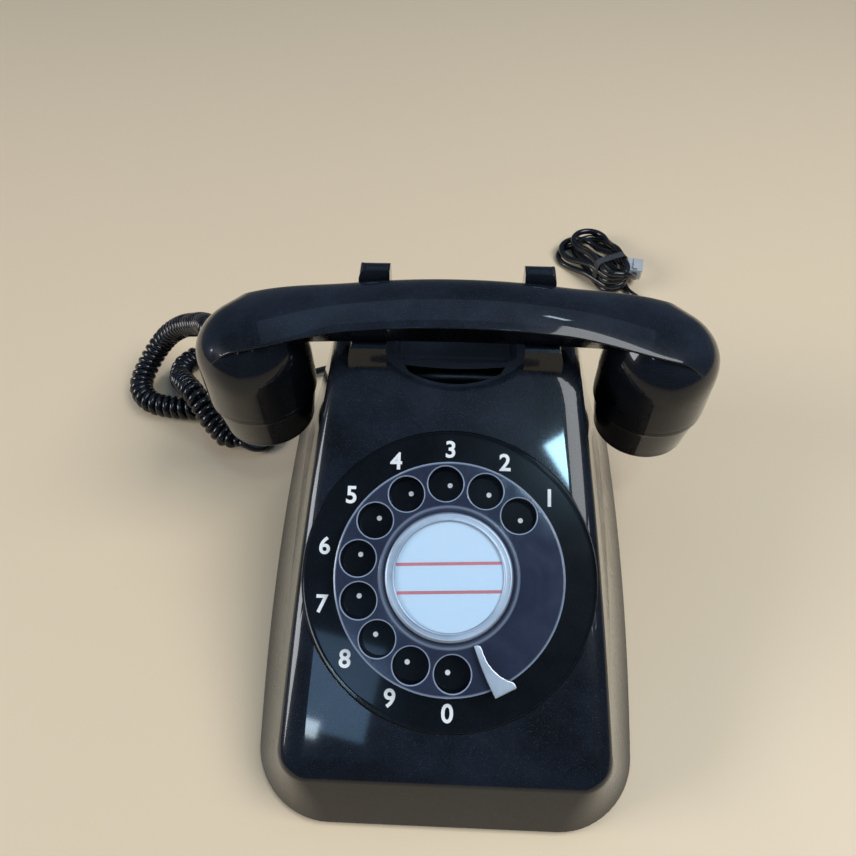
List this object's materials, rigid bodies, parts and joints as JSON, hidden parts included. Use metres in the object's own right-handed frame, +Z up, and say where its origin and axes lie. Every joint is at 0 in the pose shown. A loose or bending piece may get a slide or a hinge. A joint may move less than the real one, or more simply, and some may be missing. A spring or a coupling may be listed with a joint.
{
  "type": "rotary telephone",
  "caption": "Desk telephone in black plastic: sloped face with rotary dial, lift-off handset on a cradle, curly handset cord and a tied line cord.",
  "frame": {"origin": "on the table under the middle of the housing and the handset", "axes": "+Z up; +Y from the dial side to the back; +X to the right as the user faces the dial"},
  "size_m": [0.2962, 0.3565, 0.1215],
  "materials": {
    "black_gloss": "gloss",
    "black_cap": "gloss",
    "number_plate": "satin",
    "print_white": "printed",
    "clear_wheel": "clear",
    "clear_window": "clear",
    "centre_ring": "satin",
    "card_white": "matt card",
    "card_red": "printed",
    "stop_steel": "polished",
    "steel": "plain",
    "frame_steel": "zinc plated",
    "spring_steel": "blued",
    "brass": "plain",
    "bell_brass": "lacquered",
    "ivory_plastic": "matt",
    "coil_winding": "varnished winding",
    "phenolic": "matt",
    "aluminium_can": "plain",
    "black_rubber": "matt",
    "cord_black": "satin jacket",
    "plug_clear": "cloudy clear"
  },
  "bodies": {
    "base": {"housing": "black_gloss", "base_plate": "frame_steel", "rubber_feet": "black_rubber", "housing_screws": "steel", "number_plate": "number_plate", "numerals": "print_white", "finger_dots": "print_white", "finger_stop": "stop_steel", "dial_frame": "frame_steel", "dial_bridge": "frame_steel", "mainspring": "spring_steel", "governor_cup": "brass", "pulse_contacts": "brass", "hook_frame": "frame_steel", "hook_pin": "steel", "hook_contacts": "brass", "hook_spring": "steel", "gong_left": "bell_brass", "gong_right": "bell_brass", "gong_screws": "steel", "ringer_frame": "frame_steel", "ringer_coils": "coil_winding", "ringer_magnet": "frame_steel", "network_block": "phenolic", "network_terminals": "brass", "capacitor": "aluminium_can", "coil_cord": "cord_black", "coil_cord_end": "cord_black", "cord_grommets": "black_rubber", "line_cord": "cord_black", "line_cord_hank": "cord_black", "cord_tie": "cord_black", "line_plug": "plug_clear"},
    "dial": {"finger_wheel": "clear_wheel", "centre_ring": "centre_ring", "number_card": "card_white", "card_stripes": "card_red", "card_window": "clear_window", "wheel_screw": "steel", "main_spindle": "brass", "main_gear": "brass"},
    "pulse_train": {"pulse_shaft": "steel", "pulse_cam": "ivory_plastic", "cam_pinion": "brass", "governor_wheel": "brass"},
    "governor": {"governor": "steel"},
    "plungers": {"plunger_left": "phenolic", "plunger_right": "phenolic"},
    "hook_lever": {"hook_lever": "steel"},
    "clapper": {"clapper": "steel"},
    "volume_lever": {"volume_lever": "phenolic"},
    "handset": {"handset_handle": "black_gloss", "receiver_cap": "black_cap", "transmitter_cap": "black_cap", "receiver_capsule": "aluminium_can", "transmitter_capsule": "aluminium_can", "handset_grommet": "black_rubber", "coil_cord_tail": "cord_black"}
  },
  "joints": [
    {"name": "dial_turn", "type": "hinge", "parent": "base", "child": "dial", "pos_m": [0, -0.03303, 0.05929], "axis": [0, -0.4501, 0.893], "range_deg": [-334.29, 0], "stiffness_Nm_per_rad": 0.005, "springref_deg": 85.94},
    {"name": "pulse_spin", "type": "hinge", "parent": "base", "child": "pulse_train", "pos_m": [0.0261, -0.0439, 0.05381], "axis": [0, -0.4501, 0.893], "range_deg": [0, 2341]},
    {"name": "governor_spin", "type": "hinge", "parent": "base", "child": "governor", "pos_m": [0.02402, -0.05445, 0.0485], "axis": [0, -0.4501, 0.893], "range_deg": [-11705, 0]},
    {"name": "handset_lift", "type": "slide", "parent": "base", "child": "handset", "axis": [0, 0, 1], "range_m": [0, 0.06]},
    {"name": "plunger_travel", "type": "slide", "parent": "base", "child": "plungers", "axis": [0, 0, 1], "range_m": [0, 0.00605]},
    {"name": "hook_turn", "type": "hinge", "parent": "base", "child": "hook_lever", "pos_m": [0, 0.066, 0.062], "axis": [-1, 0, 0], "range_deg": [0, 21.6], "deforming": ["hook_spring"]},
    {"name": "clapper_swing", "type": "hinge", "parent": "base", "child": "clapper", "pos_m": [0, 0.062, 0.024], "axis": [0, 0, 1], "range_deg": [-3, 3], "stiffness_Nm_per_rad": 0.002},
    {"name": "volume_turn", "type": "hinge", "parent": "base", "child": "volume_lever", "pos_m": [-0.02, -0.008, 0.0035], "axis": [0, 0, 1], "range_deg": [-35, 35]}
  ],
  "couplings": [
    {"joint": "pulse_spin", "follows": "dial_turn", "ratio": -7},
    {"joint": "governor_spin", "follows": "dial_turn", "ratio": 35},
    {"joint": "plunger_travel", "follows": "handset_lift", "ratio": 0.1},
    {"joint": "hook_turn", "follows": "handset_lift", "rad_per_m": 6.25}
  ]
}
